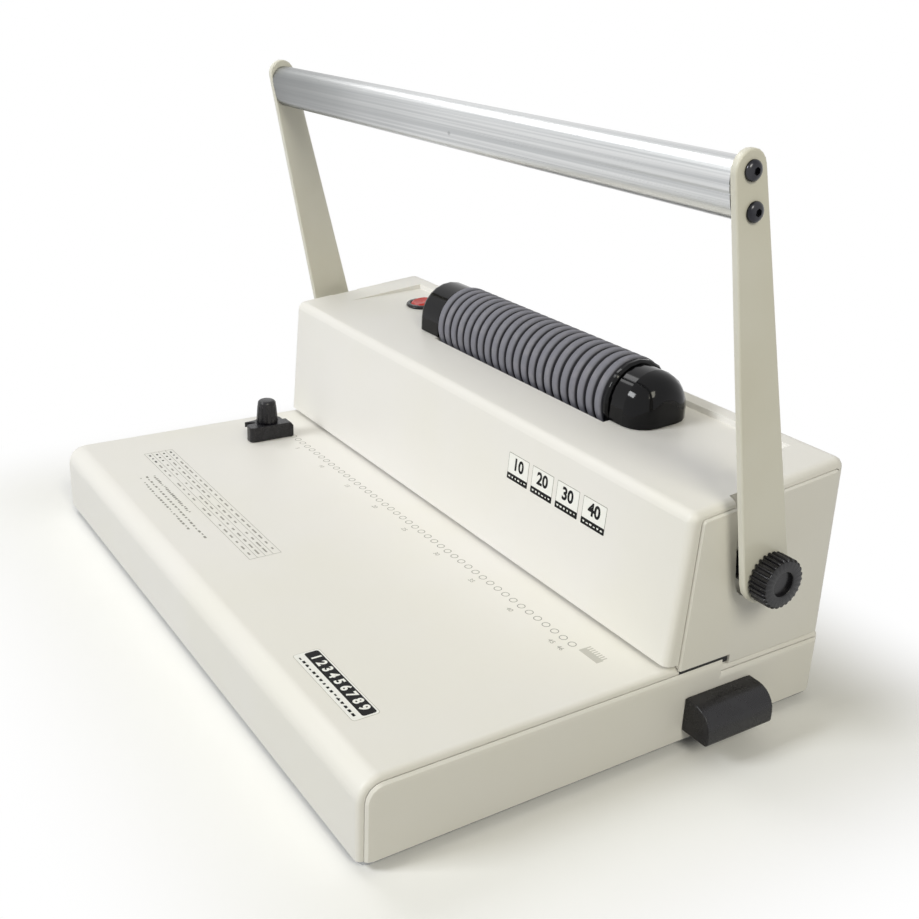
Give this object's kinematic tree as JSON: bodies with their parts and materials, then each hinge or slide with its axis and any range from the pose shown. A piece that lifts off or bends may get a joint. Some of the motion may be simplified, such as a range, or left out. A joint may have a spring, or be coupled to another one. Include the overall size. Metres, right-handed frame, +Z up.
{
  "type": "spiral binding machine",
  "caption": "Desk machine that punches a row of holes along sheets with a pull-down handle and spins a plastic coil into them on a powered ribbed roller.",
  "frame": {"origin": "on the table under the middle of the machine", "axes": "+X to the user's right along the handle bar, +Y from the user to the back, +Z up"},
  "size_m": [0.4028, 0.2423, 0.2576],
  "materials": {
    "ivory_plastic": "fine moulded grain, satin",
    "ivory_paint": "baked enamel on steel strip",
    "gloss_black": "polished",
    "satin_black": "satin",
    "grey_rubber": "moulded ribs, dull",
    "black_rubber": "dull",
    "aluminium_bar": "extruded, fine lengthwise lines",
    "red_plastic": "polished",
    "bronze": "sintered bronze",
    "screw_steel": "nickel plated",
    "zinc_steel": "zinc plated",
    "bare_steel": "ground"
  },
  "bodies": {
    "machine": {"base_tray": "ivory_plastic", "base_end_left": "ivory_plastic", "base_end_right": "ivory_plastic", "bottom_plate": "bare_steel", "foot_front_left": "black_rubber", "foot_front_right": "black_rubber", "foot_rear_left": "black_rubber", "foot_rear_right": "black_rubber", "side_frame_left": "zinc_steel", "side_frame_right": "zinc_steel", "die_block": "bare_steel", "pin_guide_block": "bare_steel", "back_gauge": "zinc_steel", "tower_hood": "ivory_plastic", "side_cover_left": "ivory_plastic", "side_cover_right": "ivory_plastic", "shaft_bush_left": "bronze", "shaft_bush_right": "bronze", "pivot_collar_left": "satin_black", "pivot_collar_right": "satin_black", "inserter_cover_left": "gloss_black", "inserter_cover_right": "gloss_black", "roller_bracket_left": "zinc_steel", "roller_bracket_right": "zinc_steel", "inserter_motor": "bare_steel", "motor_bracket": "zinc_steel", "drive_belt": "black_rubber", "switch_bezel": "satin_black", "power_inlet": "satin_black", "drawer_channel": "zinc_steel", "lift_spring_left": "zinc_steel", "lift_spring_right": "zinc_steel"},
    "handle": {"handle_bar": "aluminium_bar", "arm_left": "ivory_paint", "arm_right": "ivory_paint", "arm_screw_upper_left": "screw_steel", "arm_screw_lower_left": "screw_steel", "arm_screw_upper_right": "screw_steel", "arm_screw_lower_right": "screw_steel", "handle_shaft": "bare_steel", "pinion_left": "bare_steel", "pinion_right": "bare_steel"},
    "hand_knob_left": {"hand_knob_left": "satin_black"},
    "hand_knob_right": {"hand_knob_right": "satin_black"},
    "punch": {"punch_bar": "bare_steel", "rack_left": "bare_steel", "rack_right": "bare_steel"},
    "roller": {"roller_sleeve": "grey_rubber", "roller_core": "satin_black", "roller_pulley": "satin_black"},
    "motor_pulley": {"motor_pulley": "satin_black"},
    "switch_rocker": {"switch_rocker": "red_plastic"},
    "edge_guide": {"edge_guide": "satin_black", "guide_clamp_nut": "zinc_steel"},
    "guide_knob": {"guide_knob": "satin_black"},
    "chip_drawer": {"chip_drawer": "satin_black"}
  },
  "joints": [
    {"name": "handle_turn", "type": "hinge", "parent": "machine", "child": "handle", "pos_m": [0, 0.0656, 0.0823], "axis": [1, 0, 0], "range_deg": [0, 80], "stiffness_Nm_per_rad": 0.35, "springref_deg": -57.3},
    {"name": "punch_slide", "type": "slide", "parent": "machine", "child": "punch", "axis": [0, 0, -1], "range_m": [0, 0.0119], "deforming": ["lift_spring_left", "lift_spring_right"]},
    {"name": "hand_knob_left_turn", "type": "hinge", "parent": "handle", "child": "hand_knob_left", "pos_m": [-0.1968, 0.0656, 0.0823], "axis": [1, 0, 0], "continuous": true},
    {"name": "hand_knob_right_turn", "type": "hinge", "parent": "handle", "child": "hand_knob_right", "pos_m": [0.1968, 0.0656, 0.0823], "axis": [1, 0, 0], "continuous": true},
    {"name": "roller_spin", "type": "hinge", "parent": "machine", "child": "roller", "pos_m": [0.0091, 0.0812, 0.1239], "axis": [1, 0, 0], "continuous": true},
    {"name": "motor_spin", "type": "hinge", "parent": "machine", "child": "motor_pulley", "pos_m": [-0.06, 0.0932, 0.0703], "axis": [1, 0, 0], "continuous": true},
    {"name": "switch_rock", "type": "hinge", "parent": "machine", "child": "switch_rocker", "pos_m": [-0.12548, 0.0887, 0.11787], "axis": [1, 0, 0], "range_deg": [-16, 0]},
    {"name": "guide_slide", "type": "slide", "parent": "machine", "child": "edge_guide", "axis": [1, 0, 0], "range_m": [-0.004, 0.004]},
    {"name": "guide_knob_turn", "type": "hinge", "parent": "edge_guide", "child": "guide_knob", "pos_m": [-0.1446, -0.0087, 0.0575], "axis": [0, 0, 1], "continuous": true},
    {"name": "drawer_slide", "type": "slide", "parent": "machine", "child": "chip_drawer", "axis": [1, 0, 0], "range_m": [0, 0.3]}
  ],
  "couplings": [
    {"joint": "punch_slide", "follows": "handle_turn", "m_per_rad": 0.0085},
    {"joint": "motor_spin", "follows": "roller_spin", "ratio": 1.8461}
  ]
}
